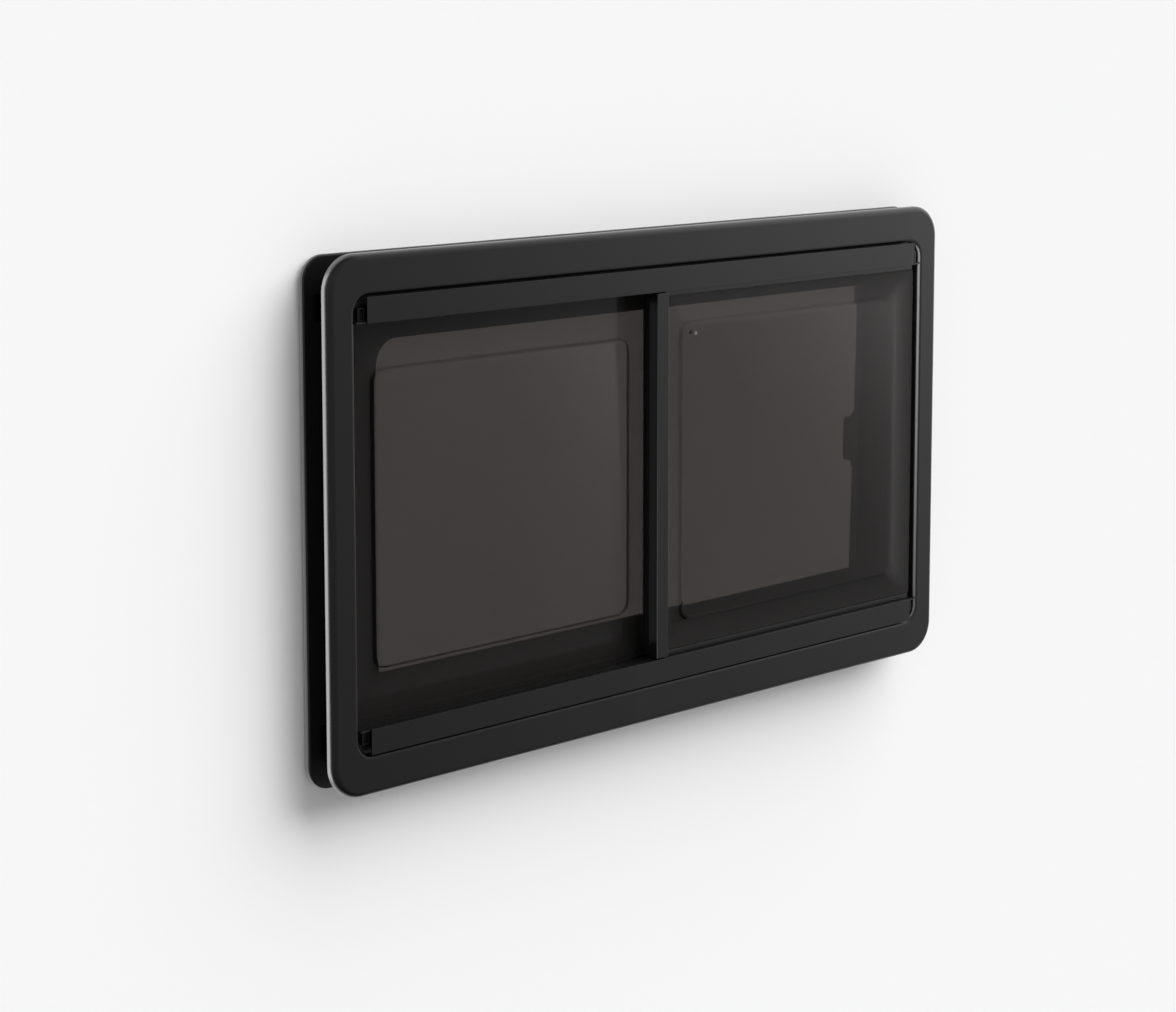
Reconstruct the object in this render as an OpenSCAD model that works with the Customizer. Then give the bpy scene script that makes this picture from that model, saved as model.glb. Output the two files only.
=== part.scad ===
// Two-pane sliding window for a caravan wall.
// The front of the window faces -Y, X runs to the right and Z runs up.
// The origin lies on the back face of the flange, in the middle of its lower band.
// Every piece is drawn lying flat with its front side up, and is then stood upright.
// In that flat drawing y is the height above the flange's lower edge, and z is how far
// a surface stands in front of the flange's back face.

/* [Wall cut-out] */
// Width of the hole cut in the wall
cutout_w = 800; // [600:10:1100]
// Height of the hole cut in the wall
cutout_h = 450; // [380:10:700]
// Corner radius of the hole
cutout_r = 12; // [11:1:20]
// Thickness of the wall, between the flange and the clamp ring
wall_t = 28.7; // [26:0.1:34]

/* [Outer flange] */
// How far the flange covers the wall outside the hole
overlap = 21; // [19:1:30]
// Radius of the flange's outer corners
flange_r = 33; // [28:1:45]
// Thickness of the flange
flange_t = 9.8; // [8:0.1:12]
// Rounding of the flange's outer front edge
flange_edge_r = 6; // [3:0.5:7]
// Width of the flange's left and right bands
band_side = 30; // [28:0.5:36]
// Width of the flange's top and bottom bands
band_rail = 38; // [36:0.5:44]
// Thickness of the lip that the flange holds over the tracks
rim_t = 5.4; // [4:0.1:6]
// Rounding of the flange's inner front edge
rim_edge_r = 4.5; // [2:0.5:5]
// Radius of the corners of the flange's opening
opening_r = 16; // [10:1:20]

/* [Frame body] */
// Gap between the body and the edge of the hole
body_gap = 1; // [0.5:0.5:3]
// Thickness of the body's wall
body_t = 2.5; // [2:0.1:3.5]

/* [Clamp ring] */
// How far the ring's edge lies inside the flange's edge
ring_inset = 2.3; // [1:0.1:6]
// Radius of the ring's outer corners
ring_r = 23.5; // [18:0.5:32]
// Thickness of the ring
ring_t = 6; // [4:0.5:8]
// Rounding of the ring's outer edges
ring_edge_r = 2; // [1:0.5:2.5]
// Width of the ring from the flange's edge line to the opening
ring_w = 83.5; // [72:0.5:95]
// Radius of the rounded corner at the opening's upper left
ring_open_r = 25; // [10:1:30]
// Length of a clip plate on the ring's front
clip_len = 25; // [15:1:40]
// Thickness of a clip plate
clip_t = 1.5; // [1:0.5:3]
// Screws along the top, and the same along the bottom
screws_long = 6; // [3:1:10]
// Screws along each side
screws_short = 3; // [2:1:5]

/* [Rails behind the ring] */
// Thickness of the rails round the back of the opening
rear_rail_t = 3.3; // [2:0.1:6]
// Width of the side and top rails
rear_rail_w = 20; // [12:1:30]
// How far the bottom rail stands up into the opening
rear_sill_rise = 14.5; // [0:0.5:20]
// How far the top rail hangs down into the opening
rear_head_drop = 1.5; // [0:0.5:10]

/* [Tracks] */
// Wall thickness of the track and jamb profiles
track_t = 1.5; // [1.2:0.1:2]
// Height from the flange's edge to the track's running face
run_h = 62; // [60:0.5:70]
// Depth of the running rail, behind the sash's slot
run_depth = 6.5; // [4:0.5:8]
// Width of the slot that the sash's blade runs in
slot_w = 2; // [1.8:0.1:3]
// Width of the slot behind the running rail
rear_slot_w = 2.5; // [1.5:0.1:3]
// Depth of the ledge behind that slot
ledge_depth = 5.5; // [4:0.5:6]
// How far the ledge lies below the running face
ledge_drop = 1; // [0:0.5:3]
// Thickness of the cover strips
strip_t = 1.5; // [1:0.1:2]
// How far the cover strips stand in front of the flange's back
strip_front = 12.4; // [11.5:0.1:13]
// Distance from the flange's side edge to the end of a cover strip
strip_end = 41.5; // [36:0.5:60]
// Gap between a cover strip and the flange's opening
strip_gap = 0.5; // [0.3:0.1:2]

/* [Sash] */
// Width of the stile that meets the fixed pane
stile_w = 15.4; // [12:0.1:20]
// How far the stile's right side lies right of the window's middle
stile_x = 1.4; // [-10:0.1:10]
// Gap between the stile's ends and the cover strips
stile_gap = 1.5; // [0.8:0.1:2]
// How far the sash rails show beyond the running face
sash_rail_h = 5.2; // [4:0.1:10]
// Thickness of the sash rails' lips
sash_lip_t = 1.2; // [1:0.1:2]
// How far the sash rails' front stands in front of the flange's back
sash_front = 6; // [5:0.1:8]
// Distance from the flange's side edge to the sash rails' ends
sash_rail_end = 38; // [36:0.5:50]
// Distance from the flange's side edge to the sash pane's edge
sash_end = 34; // [32:0.5:50]
// How far the sash's blade reaches into its slot
blade_depth = 5; // [3:0.5:8]

/* [Panes] */
// Thickness of each sheet
sheet_t = 2.5; // [2:0.1:3]
// Corner radius of the sheets
pane_r = 8; // [3:0.5:12]
// Radius of a raised panel's outer corners
raise_r = 15; // [10:0.5:20]
// How far the sash's raised panel stands in front of its rim
sash_raise = 5.2; // [2:0.1:6]
// Width of the slopes left and right of the sash's raised panel
sash_slope_side = 7; // [4:0.5:14]
// Width of the slopes above and below the sash's raised panel
sash_slope_rail = 4.5; // [3:0.5:10]
// Distance from the flange's edge to the raised panel, above and below
sash_raise_inset = 93.8; // [75:0.1:110]
// Distance from the flange's right edge to the raised panel
sash_raise_right = 61; // [45:0.5:75]
// Distance from the window's middle to the raised panel
sash_raise_left = 18.5; // [6:0.5:30]
// How far the fixed pane's rim lies behind the flange's back
fixed_depth = 16.4; // [14:0.1:18]
// How far the fixed pane's raised panel stands in front of its rim
fixed_raise = 6; // [2:0.1:7]
// Width of the slopes left and right of the fixed pane's raised panel
fixed_slope_side = 2.5; // [2:0.5:14]
// Width of the slopes above and below the fixed pane's raised panel
fixed_slope_rail = 2.5; // [2:0.5:10]
// Distance from the flange's edge to the fixed raised panel, above and below
fixed_raise_inset = 106.8; // [75:0.1:115]
// Distance from the flange's left edge to the fixed raised panel
fixed_raise_left = 66.2; // [45:0.1:75]
// Distance from the window's middle to the fixed raised panel
fixed_raise_right = 26; // [10:0.1:40]
// Distance from the flange's edge to the fixed pane's upper and lower edge
fixed_edge_v = 44; // [40:0.5:52]
// Distance from the flange's side edge to the fixed pane's left edge
fixed_edge_left = 27; // [26.6:0.1:32]
// How far the fixed pane reaches to the right of the window's middle
fixed_reach = 9; // [0:0.5:20]
// Width of the profile on the fixed pane's right edge
interlock_w = 17; // [12:0.1:22]
// Width of that profile's flange behind the pane
interlock_back_w = 8; // [6:0.1:20]
// Diameter of a vent plug
plug_d = 4; // [2:0.1:5]
// Distance from the sash's raised panel's left edge to the vent plug
plug_side = 23; // [20:0.5:60]
// Distance from the raised panel's upper edge to the vent plug
plug_drop = 13.2; // [10:0.1:30]

/* [Latch] */
// Distance from the flange's right edge to the latch's middle
latch_inset = 105; // [95:1:130]
// Height of the latch's back plate
latch_plate_h = 100; // [84:1:120]
// Width of the latch's back plate
latch_plate_w = 28; // [20:1:40]
// Distance between the two latch screws
latch_screw_pitch = 80; // [70:1:100]
// Height of the latch's foot
latch_foot_h = 62; // [52:1:68]
// Width of the latch's foot
latch_foot_w = 26; // [20:1:36]
// Depth of the latch's foot behind its plate
latch_foot_t = 8; // [4:0.5:10]
// Height of the latch's knob
knob_h = 47; // [36:1:58]
// Width of the latch's knob
knob_w = 24; // [16:1:30]
// Depth of the latch's knob behind its foot
knob_t = 12; // [6:0.5:14]
// How far the bolt reaches out beside the knob
bolt_reach = 12; // [10:0.5:14]

/* [Hidden] */
$fn = 64;

// Gap between pieces that sit in or beside each other
seat = 0.3;
// Overlap that joins the parts of one solid
weld = 0.5;

flange_w = cutout_w + 2 * overlap;
flange_h = cutout_h + 2 * overlap;
half_w = flange_w / 2;
rim_back = flange_t - rim_t;
body_inset = overlap + body_gap;
body_r = cutout_r - body_gap;
body_step = 0.6;
cavity_inset = body_inset + body_t;
cavity_r = max(body_r - body_t, 1);

ring_back = -wall_t - ring_t;
ring_open_half = half_w - ring_w;

// Where the tracks stand in the body
floor_h = cavity_inset + seat;
floor_top = floor_h + track_t;
upright_end = run_h + seat;

// Depths in the tracks, from the front to the back
channel_front = strip_front - strip_t - seat;
slot_front = sash_front;
run_front = slot_front - slot_w;
run_back = run_front - run_depth;
ledge_front = run_back - rear_slot_w;
ledge_back = ledge_front - ledge_depth;
track_front = rim_back - seat;
track_back = -wall_t + seat;

// Depths in the sash
sash_rim_z = sash_front - sash_lip_t - seat;
sash_inner_z = sash_rim_z - sheet_t;
sash_sheet_back = sash_inner_z - sheet_t;
sash_lip_z = sash_sheet_back - seat;
sash_back = sash_lip_z - track_t;

// Depths in the fixed pane
fixed_rim_z = -fixed_depth;
fixed_inner_z = fixed_rim_z - sheet_t;
fixed_sheet_back = fixed_inner_z - sheet_t;
rear_wall_z = fixed_sheet_back - seat;

// Places across the window, from its middle
stile_right = stile_x;
stile_left = stile_x - stile_w;
sash_left = stile_right + seat;
sash_right = half_w - sash_end;
sash_rail_right = half_w - sash_rail_end;
sash_rail_top = run_h + seat + sash_rail_h;
sash_edge = run_h + seat + track_t + seat;
jamb_w = 27;
jamb_x = half_w - cavity_inset - seat - jamb_w;
jamb_front = -5;

// The latch, on the back of the sash's inner sheet
latch_x = half_w - latch_inset;
latch_y = flange_h / 2;
latch_z = sash_sheet_back;
latch_plate_t = 2.5;
foot_z = latch_z - latch_plate_t;
knob_z = foot_z - latch_foot_t;
bolt_h = 12;
bolt_t = 3;
bolt_z = knob_z - 3;
bolt_end = latch_x + knob_w / 2 + bolt_reach;

// A rounded rectangle about the origin
module rounded(w, h, r) {
    square([w - 2 * r, h], center = true);
    square([w, h - 2 * r], center = true);
    for (sx = [-1, 1])
        for (sy = [-1, 1])
            translate([sx * (w / 2 - r), sy * (h / 2 - r)])
                circle(r);
}

// The same, as an outline that lies inside the flange's edge
module inside_flange(side, end, r) {
    translate([0, flange_h / 2])
        rounded(flange_w - 2 * side, flange_h - 2 * end, r);
}

// A slab of a flat outline between two heights
module slab(z0, z1) {
    translate([0, 0, z0])
        linear_extrude(z1 - z0)
            children();
}

// A box given by its two corners
module block(x0, x1, y0, y1, z0, z1) {
    translate([x0, y0, z0])
        cube([x1 - x0, y1 - y0, z1 - z0]);
}

// A rectangle given by its two corners
module patch(x0, x1, y0, y1) {
    translate([x0, y0])
        square([x1 - x0, y1 - y0]);
}

// Sweeps a profile round a rounded rectangle; its first axis points outwards from the line
module around(w, h, r) {
    for (k = [0 : 3]) {
        a = k % 2 == 0 ? w : h;
        b = k % 2 == 0 ? h : w;
        rotate(90 * k) {
            translate([a / 2, b / 2 - r, 0])
                rotate([90, 0, 0])
                    linear_extrude(b - 2 * r)
                        children();
            translate([a / 2 - r, b / 2 - r, 0])
                rotate_extrude(angle = 90)
                    translate([r, 0])
                        children();
        }
    }
}

// A quarter of a circle's disc, towards the outside and the front
module quarter(r) {
    intersection() {
        circle(r);
        square(r);
    }
}

// A band whose front edge is rounded along the line that it is swept on
module edge_band(width, z0, z1, r) {
    patch(-width, -r, z0, z1);
    patch(-width, 0, z0, z1 - r);
    translate([-r, z1 - r])
        quarter(r);
}

// Stands a flat drawing upright, with the origin in the middle of the lower band
module stand() {
    translate([0, 0, -overlap / 2])
        rotate([90, 0, 0])
            children();
}

// Repeats a piece of the lower edge at the upper edge, upside down
module at_top() {
    translate([0, flange_h, 0])
        mirror([0, 1, 0])
            children();
}

// A bar along X from a profile drawn as height and front distance
module along_x(x0, x1) {
    translate([x0, 0, 0])
        rotate([90, 0, 90])
            linear_extrude(x1 - x0)
                children();
}

// A bar along the height from a profile drawn as x and front distance
module along_y(y0, y1) {
    translate([0, y1, 0])
        rotate([90, 0, 0])
            linear_extrude(y1 - y0)
                children();
}

// The front flange, with a pocket behind its inner lip
module outer_flange() {
    outer_band = 20;
    inner_band = 8;
    color("#262626")
        stand() {
            translate([0, flange_h / 2, 0]) {
                around(flange_w, flange_h, flange_r)
                    edge_band(outer_band, 0, flange_t, flange_edge_r);
                around(flange_w - 2 * band_side, flange_h - 2 * band_rail, opening_r)
                    mirror([1, 0])
                        edge_band(inner_band, rim_back, flange_t, rim_edge_r);
            }
            slab(rim_back, flange_t)
                difference() {
                    inside_flange(flange_edge_r + 1, flange_edge_r + 1, flange_r - flange_edge_r - 1);
                    inside_flange(band_side - rim_edge_r, band_rail - rim_edge_r, opening_r + rim_edge_r);
                }
            slab(0, flange_t)
                difference() {
                    inside_flange(flange_edge_r + 1, flange_edge_r + 1, flange_r - flange_edge_r - 1);
                    inside_flange(body_inset, body_inset, body_r);
                }
            slab(body_step, flange_t)
                difference() {
                    inside_flange(body_inset - 1, body_inset - 1, body_r + 1);
                    inside_flange(cavity_inset, cavity_inset, cavity_r);
                }
        }
}

// The throat that passes through the hole in the wall
module frame_body() {
    color("#1c1c1c")
        stand()
            slab(-wall_t, body_step)
                difference() {
                    inside_flange(body_inset, body_inset, body_r);
                    inside_flange(cavity_inset, cavity_inset, cavity_r);
                }
}

// The opening of the clamp ring, rounded at the upper left only
module ring_opening() {
    difference() {
        inside_flange(ring_w, ring_w, 2);
        translate([-ring_open_half, flange_h - ring_w])
            difference() {
                patch(-1, ring_open_r, -ring_open_r, 1);
                translate([ring_open_r, -ring_open_r])
                    circle(ring_open_r);
            }
    }
}

// The wide ring that clamps the window from inside
module clamp_ring() {
    edge = 12;
    color("#2a2a2a")
        stand() {
            translate([0, flange_h / 2, 0])
                around(flange_w - 2 * ring_inset, flange_h - 2 * ring_inset, ring_r)
                    ring_edge(edge);
            slab(ring_back, -wall_t)
                difference() {
                    inside_flange(ring_inset + ring_edge_r + 1, ring_inset + ring_edge_r + 1,
                        ring_r - ring_edge_r - 1);
                    ring_opening();
                }
        }
}

// The ring's rounded rim, on both of its edges
module ring_edge(width) {
    patch(-width, -ring_edge_r, ring_back, -wall_t);
    patch(-width, 0, ring_back + ring_edge_r, -wall_t - ring_edge_r);
    for (z = [ring_back + ring_edge_r, -wall_t - ring_edge_r])
        translate([-ring_edge_r, z])
            circle(ring_edge_r);
}

// The clips between the ring and the body, two on each side
module clamp_clips() {
    clip_x = 14.5;
    clip_y = 37.5;
    color("#5a5a5a")
        stand()
            for (s = [0, 1])
                mirror([s, 0, 0])
                    for (y = [clip_y, flange_h - clip_y - clip_len])
                        block(clip_x - half_w, body_inset - half_w, y, y + clip_len, -wall_t, -wall_t + clip_t);
}

// Heads of the screws that pull the ring against the wall
module clamp_screws() {
    screw_inset = 30;
    head_r = 3.6;
    head_h = 1.8;
    long_step = (flange_w - 4 * screw_inset) / (screws_long - 1);
    short_step = (flange_h - 6 * screw_inset) / (screws_short - 1);
    color("#3a3a3a")
        stand() {
            for (i = [0 : screws_long - 1])
                for (y = [screw_inset, flange_h - screw_inset])
                    translate([2 * screw_inset - half_w + i * long_step, y, ring_back - head_h])
                        cylinder(r = head_r, h = head_h);
            for (i = [0 : screws_short - 1])
                for (x = [screw_inset - half_w, half_w - screw_inset])
                    translate([x, 3 * screw_inset + i * short_step, ring_back - head_h])
                        cylinder(r = head_r, h = head_h);
        }
}

// One bar of the frame round the back of the opening
module rear_bar(x0, x1, y0, y1) {
    color("#202020")
        stand()
            block(x0, x1, y0, y1, ring_back - rear_rail_t, ring_back);
}

module rear_rail_top() {
    rear_bar(-ring_open_half - rear_rail_w, ring_open_half + rear_rail_w,
        flange_h - ring_w - rear_head_drop, flange_h - ring_w + rear_rail_w);
}

module rear_rail_bottom() {
    rear_bar(-ring_open_half - rear_rail_w, ring_open_half + rear_rail_w,
        ring_w - rear_rail_w, ring_w + rear_sill_rise);
}

module rear_rail_left() {
    rear_bar(-ring_open_half - rear_rail_w, -ring_open_half,
        ring_w + rear_sill_rise, flange_h - ring_w - rear_head_drop);
}

module rear_rail_right() {
    rear_bar(ring_open_half, ring_open_half + rear_rail_w,
        ring_w + rear_sill_rise, flange_h - ring_w - rear_head_drop);
}

// Profile of a track: the front channel, the running rail, a ledge and the rear wall
module track_profile() {
    shelf_h = 44;
    patch(floor_h, floor_top, track_back, track_front);
    patch(floor_h, run_h, run_front - track_t, run_front);
    patch(floor_h, run_h, run_back, run_back + track_t);
    patch(run_h - track_t, run_h, run_back, run_front);
    patch(floor_h, run_h - ledge_drop, ledge_front - track_t, ledge_front);
    patch(floor_h, run_h - ledge_drop, ledge_back, ledge_back + track_t);
    patch(run_h - ledge_drop - track_t, run_h - ledge_drop, ledge_back, ledge_front);
    patch(floor_h, run_h, rear_wall_z - track_t, rear_wall_z);
    patch(shelf_h, shelf_h + track_t, run_front - track_t, channel_front);
    patch(shelf_h, run_h, channel_front - track_t, channel_front);
    patch(run_h - track_t, run_h, slot_front, channel_front);
}

// The space that the tracks may fill: inside the body, and inside the flange's opening
module track_room() {
    slab(-wall_t, track_front)
        inside_flange(floor_h, floor_h, cavity_r);
    slab(-wall_t, strip_front)
        inside_flange(band_side + seat, band_rail + seat, opening_r);
}

// A track, with its front channel cut back beyond the cover strip's ends
module track() {
    pocket_h = run_h - track_t;
    difference() {
        intersection() {
            along_x(-half_w, half_w)
                track_profile();
            track_room();
        }
        for (s = [0, 1])
            mirror([s, 0, 0])
                block(-half_w, strip_end + 2 - half_w, floor_top, pocket_h, track_front + 0.1, strip_front);
    }
}

module top_track() {
    color("#181818")
        stand()
            at_top()
                track();
}

module bottom_track() {
    color("#181818")
        stand()
            track();
}

// Upright profile at the left, which holds the fixed pane's edge
module left_jamb() {
    x0 = floor_h - half_w;
    arm = 8;
    color("#181818")
        stand()
            along_y(upright_end, flange_h - upright_end) {
                patch(x0, x0 + track_t, track_back, track_front);
                patch(x0, x0 + arm, fixed_rim_z + seat, fixed_rim_z + seat + track_t);
                patch(x0, x0 + arm, rear_wall_z - track_t, rear_wall_z);
            }
}

// Upright hollow post at the right, which the sash closes over
module right_jamb() {
    x1 = jamb_x + jamb_w;
    color("#181818")
        stand()
            along_y(upright_end, flange_h - upright_end) {
                patch(x1 - track_t, x1, track_back, track_front);
                difference() {
                    patch(jamb_x, x1, rear_wall_z - track_t, jamb_front);
                    patch(jamb_x + track_t, x1 - track_t, rear_wall_z, jamb_front - track_t);
                }
            }
}

// Thin plate that closes a track's channel to the front
module cover_strip() {
    block(strip_end - half_w, half_w - strip_end, band_rail + strip_gap, upright_end,
        strip_front - strip_t, strip_front);
}

module top_cover_strip() {
    color("#2e2e2e")
        stand()
            at_top()
                cover_strip();
}

module bottom_cover_strip() {
    color("#2e2e2e")
        stand()
            cover_strip();
}

// Hollow blocks in the pockets at the ends of the two channels
module track_end_blocks() {
    end_w = 8;
    end_t = 4;
    end_wall = 1.5;
    end_room = 5;
    y1 = run_h - track_t - seat;
    end_h = (y1 - band_rail - end_room) * 0.7;
    x0 = band_side + 4 - half_w;
    y0 = y1 - end_h;
    color("#3c3c3c")
        stand()
            for (top = [0, 1])
                for (s = [0, 1])
                    translate([0, top * flange_h, 0])
                        mirror([0, top, 0])
                            mirror([s, 0, 0])
                                difference() {
                                    block(x0, x0 + end_w, y0, y0 + end_h, track_front, track_front + end_t);
                                    block(x0 + end_wall, x0 + end_w - end_wall, y0 + end_wall,
                                        y0 + end_h - end_wall, track_front + end_wall, strip_front);
                                }
}

// A frustum between two rounded rectangles; the front one is drawn in by the slopes
module frustum(w, h, r, slope_x, slope_y, z0, z1) {
    thin = 0.01;
    hull() {
        slab(z0, z0 + thin)
            rounded(w, h, r);
        slab(z1 - thin, z1)
            rounded(w - 2 * slope_x, h - 2 * slope_y, r - slope_y);
    }
}

// A sheet with a raised panel, which is given by its left and right side and its inset
module formed_sheet(px0, px1, inset, slope_x, slope_y, z, raise) {
    pw = px1 - px0;
    ph = flange_h - 2 * inset;
    lip = 1.2;
    $fn = 32;
    slab(z - sheet_t, z)
        difference() {
            children();
            translate([(px0 + px1) / 2, flange_h / 2])
                rounded(pw - 2 * weld, ph - 2 * weld, raise_r - weld);
        }
    translate([(px0 + px1) / 2, flange_h / 2, z])
        difference() {
            union() {
                slab(-sheet_t, 0)
                    rounded(pw, ph, raise_r);
                frustum(pw, ph, raise_r, slope_x, slope_y, -weld, raise);
            }
            slab(-sheet_t - 1, -sheet_t + 0.01)
                rounded(pw - 2 * lip, ph - 2 * lip, raise_r - lip);
            frustum(pw - 2 * lip, ph - 2 * lip, raise_r - lip, slope_x, slope_y, -sheet_t, raise - sheet_t);
        }
}

// The fixed pane's outline
module fixed_outline() {
    w = half_w - fixed_edge_left + fixed_reach;
    translate([fixed_edge_left - half_w + w / 2, flange_h / 2])
        rounded(w, flange_h - 2 * fixed_edge_v, pane_r);
}

module fixed_pane_outer() {
    color("#3a3634", 0.5)
        stand()
            formed_sheet(fixed_raise_left - half_w, -fixed_raise_right, fixed_raise_inset,
                fixed_slope_side, fixed_slope_rail, fixed_rim_z, fixed_raise)
                fixed_outline();
}

module fixed_pane_inner() {
    color("#3a3634", 0.5)
        stand()
            slab(fixed_sheet_back, fixed_inner_z)
                fixed_outline();
}

// Beads that press the fixed pane from the front, above and below
module fixed_pane_beads() {
    bead_top = 56;
    color("#202020")
        stand()
            for (top = [0, 1])
                translate([0, top * flange_h, 0])
                    mirror([0, top, 0])
                        block(-half_w + cavity_inset + cavity_r, fixed_reach, fixed_edge_v + 2, bead_top,
                            fixed_rim_z + seat, ledge_back - seat);
}

// Blocks that the fixed pane stands on
module fixed_pane_blocks() {
    block_len = 40;
    block_inset = 50;
    x0 = fixed_edge_left - half_w + block_inset;
    x1 = fixed_reach - block_inset - block_len;
    color("#151515")
        stand()
            for (x = [x0, x1])
                block(x, x + block_len, floor_top, fixed_edge_v, fixed_sheet_back, fixed_rim_z);
}

// Upright profile that grips the fixed pane's right edge
module fixed_interlock() {
    x1 = fixed_reach + seat + track_t;
    color("#0e0e0e")
        stand()
            along_y(upright_end, flange_h - upright_end) {
                patch(x1 - interlock_w, x1, fixed_rim_z + seat, fixed_rim_z + seat + track_t);
                patch(x1 - track_t, x1, rear_wall_z - track_t, fixed_rim_z + seat + track_t);
                patch(x1 - interlock_back_w, x1, rear_wall_z - track_t, rear_wall_z);
            }
}

// The upright stile at the sash's left, hollow and closed at its ends
module sash_stile() {
    y0 = upright_end + stile_gap - seat;
    end_t = 2;
    color("#343434")
        stand()
            difference() {
                block(stile_left, stile_right, y0, flange_h - y0, 0, strip_front);
                block(stile_left + track_t, stile_right - track_t, y0 + end_t, flange_h - y0 - end_t,
                    track_t, strip_front - track_t);
            }
}

// A sash rail: a channel round the sheets' edge, and the blade in the slot
module sash_rail() {
    y0 = run_h + seat;
    blade_t = slot_w - 2 * seat;
    blade_end = 6;
    along_x(sash_left, sash_rail_right) {
        patch(y0, y0 + track_t, sash_back, sash_front);
        patch(y0, sash_rail_top, sash_front - sash_lip_t, sash_front);
        patch(y0, sash_rail_top, sash_back, sash_lip_z);
    }
    along_x(sash_left, sash_rail_right - blade_end)
        patch(run_h - blade_depth, y0 + weld, slot_front - seat - blade_t, slot_front - seat);
}

module sash_top_rail() {
    color("#2a2a2a")
        stand()
            at_top()
                sash_rail();
}

module sash_bottom_rail() {
    color("#2a2a2a")
        stand()
            sash_rail();
}

// The sash's right stile, behind the sheets
module sash_right_stile() {
    stile_depth_w = 9;
    y0 = sash_rail_top + seat;
    color("#1c1c1c")
        stand()
            block(sash_rail_right - stile_depth_w, sash_rail_right, y0, flange_h - y0, sash_back, sash_lip_z);
}

// The outline of the sash's sheets
module sash_outline() {
    w = sash_right - sash_left;
    translate([sash_left + w / 2, flange_h / 2])
        rounded(w, flange_h - 2 * sash_edge, pane_r);
}

module sash_pane_outer() {
    color("#3a3634", 0.5)
        stand()
            formed_sheet(sash_raise_left, half_w - sash_raise_right, sash_raise_inset,
                sash_slope_side, sash_slope_rail, sash_rim_z, sash_raise)
                sash_outline();
}

module sash_pane_inner() {
    color("#3a3634", 0.5)
        stand()
            slab(sash_sheet_back, sash_inner_z)
                sash_outline();
}

// Plugs in the vent holes of the sash's two sheets
module vent_plugs() {
    plug_x = sash_raise_left + plug_side;
    plug_y = flange_h - sash_raise_inset - plug_drop;
    plug_h = 0.8;
    color("#8a8a8a")
        stand()
            for (z = [sash_rim_z + sash_raise, sash_inner_z])
                translate([plug_x, plug_y, z])
                    cylinder(d = plug_d, h = plug_h);
}

// Seal on the fixed profile that the sash's stile slides over
module interlock_seal() {
    seal_w = 4;
    x0 = fixed_reach + seat + track_t - interlock_w + 2;
    color("#0c0c0c")
        stand()
            block(x0, x0 + seal_w, upright_end, flange_h - upright_end,
                fixed_rim_z + seat + track_t, -seat);
}

// Seal on the right jamb that the sash closes against
module closing_seal() {
    seal_w = 5;
    x0 = jamb_x + 8;
    color("#0c0c0c")
        stand()
            block(x0, x0 + seal_w, upright_end, flange_h - upright_end, jamb_front, sash_back - seat);
}

// Thin back plate of the latch, screwed to the sash's inner sheet
module latch_plate() {
    color("#222222")
        stand()
            translate([latch_x, latch_y, 0])
                slab(foot_z, latch_z)
                    rounded(latch_plate_w, latch_plate_h, 6);
}

module latch_foot() {
    color("#2c2c2c")
        stand()
            translate([latch_x, latch_y, 0])
                slab(knob_z, foot_z)
                    rounded(latch_foot_w, latch_foot_h, 4);
}

module latch_knob() {
    color("#343434")
        stand()
            translate([latch_x, latch_y, 0])
                slab(knob_z - knob_t, knob_z)
                    rounded(knob_w, knob_h, 4);
}

// Bolt that runs from the knob to the keeper
module latch_bolt() {
    color("#707070")
        stand()
            block(latch_x + knob_w / 2, bolt_end, latch_y - bolt_h / 2, latch_y + bolt_h / 2, bolt_z - bolt_t, bolt_z);
}

// Keeper on the clamp ring that the bolt hooks into
module latch_keeper() {
    keeper_w = 8;
    keeper_h = 28;
    hook = 4;
    x0 = bolt_end - hook;
    color("#707070")
        stand()
            difference() {
                block(x0, x0 + keeper_w, latch_y - keeper_h / 2, latch_y + keeper_h / 2, -wall_t, bolt_z + 3);
                block(x0 - 1, bolt_end + seat, latch_y - bolt_h / 2 - seat, latch_y + bolt_h / 2 + seat,
                    bolt_z - bolt_t - seat, bolt_z + seat);
            }
}

// Heads of the two screws in the latch's plate
module latch_screws() {
    head_r = 3;
    head_h = 1.4;
    color("#8a8a8a")
        stand()
            for (s = [-1, 1])
                translate([latch_x, latch_y + s * latch_screw_pitch / 2, foot_z - head_h])
                    cylinder(r = head_r, h = head_h);
}

outer_flange();
frame_body();
clamp_ring();
clamp_clips();
clamp_screws();
rear_rail_top();
rear_rail_bottom();
rear_rail_left();
rear_rail_right();
top_track();
bottom_track();
left_jamb();
right_jamb();
top_cover_strip();
bottom_cover_strip();
track_end_blocks();
fixed_pane_outer();
fixed_pane_inner();
fixed_pane_beads();
fixed_pane_blocks();
fixed_interlock();
sash_stile();
sash_top_rail();
sash_bottom_rail();
sash_right_stile();
sash_pane_outer();
sash_pane_inner();
vent_plugs();
interlock_seal();
closing_seal();
latch_plate();
latch_foot();
latch_knob();
latch_bolt();
latch_keeper();
latch_screws();
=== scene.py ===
# %% [markdown]
# # A sliding caravan window
#
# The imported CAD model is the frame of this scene: its 36 pieces already have their sizes and
# places, and nothing here moves them. The cells below give every piece its finish, put finer
# shapes over the pieces that show most, and light the result like a catalogue picture.
#
# Lengths are written in millimetres as the CAD source has them, and turned into metres where
# a mesh is made. X runs to the right, Z up, and the outside of the window faces -Y.

# %% Load the frame
import math
import bpy
import bmesh
from mathutils import Matrix, Vector


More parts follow.
